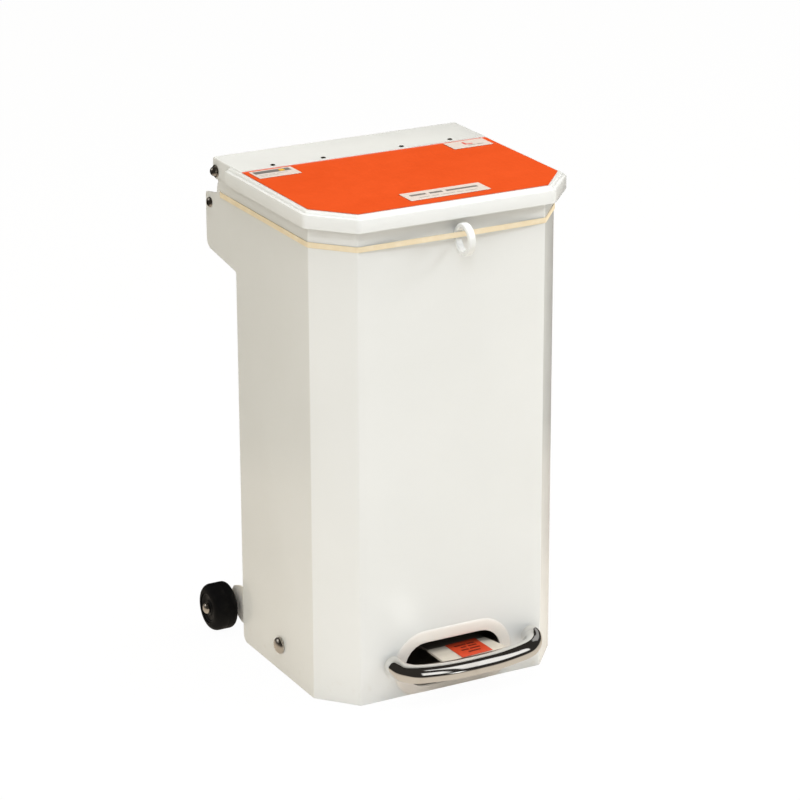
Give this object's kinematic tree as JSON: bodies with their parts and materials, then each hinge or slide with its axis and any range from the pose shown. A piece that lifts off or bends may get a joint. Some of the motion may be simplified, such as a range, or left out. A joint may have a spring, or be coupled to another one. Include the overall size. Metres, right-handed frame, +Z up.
{
  "type": "pedal bin",
  "caption": "Free-standing steel pedal bin with a chamfered front, hinged coloured lid, chrome pedal bar and rear wheels.",
  "frame": {"origin": "on the floor, under the middle of the body's footprint", "axes": "+X to the right seen from the front, +Y to the back, +Z up"},
  "size_m": [0.412, 0.3908, 0.6497],
  "materials": {
    "white_powder_coat": "gloss",
    "orange_panel": "gloss",
    "chrome": "polished",
    "zinc_steel": "zinc plated",
    "beige_tread": "satin",
    "black_rubber": "matte",
    "black_plastic": "satin",
    "white_nylon": "satin",
    "tan_latex": "matte",
    "label_white": "gloss",
    "label_red": "gloss"
  },
  "bodies": {
    "bin": {"body_shell": "white_powder_coat", "back_panel": "white_powder_coat", "base_plate": "zinc_steel", "inner_floor": "zinc_steel", "grab_bar": "zinc_steel", "grab_bar_bolt_left": "zinc_steel", "grab_bar_bolt_right": "zinc_steel", "hinge_bolt_left": "zinc_steel", "hinge_bolt_right": "zinc_steel", "hinge_washer_left": "white_nylon", "hinge_washer_right": "white_nylon", "hinge_nut_left": "zinc_steel", "hinge_nut_right": "zinc_steel", "lid_buffer_left": "black_rubber", "lid_buffer_right": "black_rubber", "rod_guide_lower": "zinc_steel", "rod_guide_upper": "zinc_steel", "pedal_shaft": "zinc_steel", "shaft_cap_left": "zinc_steel", "shaft_cap_right": "zinc_steel", "wheel_bracket_left": "white_powder_coat", "wheel_bracket_right": "white_powder_coat", "wheel_axle": "zinc_steel", "axle_cap_left": "zinc_steel", "axle_cap_right": "zinc_steel", "rubber_band": "tan_latex", "band_ring": "white_powder_coat", "ring_nut": "zinc_steel"},
    "lid": {"lid_tray": "white_powder_coat", "lid_colour_panel": "orange_panel", "hinge_plate": "white_powder_coat", "hinge_rivet_1": "zinc_steel", "hinge_rivet_2": "zinc_steel", "hinge_rivet_3": "zinc_steel", "hinge_rivet_4": "zinc_steel", "lift_bracket": "zinc_steel", "lift_pin": "zinc_steel", "label_rear_left": "label_white", "label_rear_right": "label_white", "label_front": "label_white"},
    "lift_rod": {"lift_rod": "zinc_steel", "lift_rod_head": "white_nylon", "lift_rod_foot": "white_nylon"},
    "pedal": {"pedal_lever": "beige_tread", "pedal_bar": "chrome", "bar_plug_left": "white_nylon", "bar_plug_right": "white_nylon", "lever_bush_left": "white_nylon", "lever_bush_right": "white_nylon", "label_pedal": "label_red"},
    "wheel_left": {"wheel_hub_left": "black_plastic", "wheel_tyre_left": "black_rubber"},
    "wheel_right": {"wheel_hub_right": "black_plastic", "wheel_tyre_right": "black_rubber"}
  },
  "joints": [
    {"name": "lid_lift", "type": "hinge", "parent": "bin", "child": "lid", "pos_m": [0, 0.173, 0.6315], "axis": [-1, 0, 0], "range_deg": [0, 75]},
    {"name": "pedal_press", "type": "hinge", "parent": "bin", "child": "pedal", "pos_m": [0, 0.0153, 0.037], "axis": [1, 0, 0], "range_deg": [0, 7.85]},
    {"name": "rod_slide", "type": "slide", "parent": "bin", "child": "lift_rod", "axis": [0, 0, 1], "range_m": [0, 0.0198]},
    {"name": "wheel_spin_left", "type": "hinge", "parent": "bin", "child": "wheel_left", "pos_m": [-0.1844, 0.18, 0.0316], "axis": [1, 0, 0], "continuous": true},
    {"name": "wheel_spin_right", "type": "hinge", "parent": "bin", "child": "wheel_right", "pos_m": [0.1844, 0.18, 0.0316], "axis": [1, 0, 0], "continuous": true}
  ],
  "couplings": [
    {"joint": "pedal_press", "follows": "lid_lift", "ratio": 0.1046},
    {"joint": "rod_slide", "follows": "lid_lift", "m_per_rad": 0.015}
  ]
}
